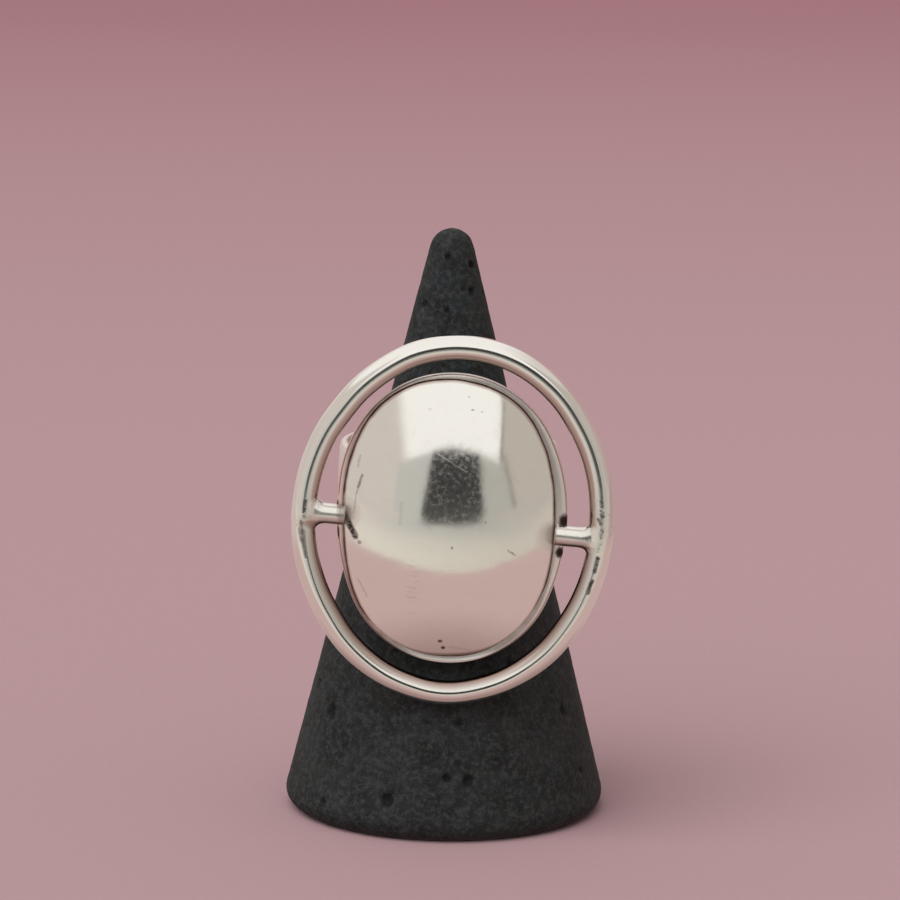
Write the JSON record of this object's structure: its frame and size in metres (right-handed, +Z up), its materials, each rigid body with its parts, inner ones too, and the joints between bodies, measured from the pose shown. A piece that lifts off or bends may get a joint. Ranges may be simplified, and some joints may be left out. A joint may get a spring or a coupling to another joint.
{
  "type": "openwork ring on cone stand",
  "caption": "Silver finger ring with a domed oval head in an open wire oval, carried by short rods, standing on a plain dark stone ring cone.",
  "frame": {"origin": "centre of the cone's foot, on the surface that it stands on", "axes": "+Z up along the cone, -Y the way the ring's domed head faces"},
  "size_m": [0.03, 0.0309, 0.055],
  "materials": {
    "stone": "matt dark porous stone with small open pits",
    "silver": "polished worn silver with fine scratches and some tarnish in the corners"
  },
  "bodies": {
    "root": {"cone_stand": "stone", "ring": "silver"}
  },
  "joints": []
}
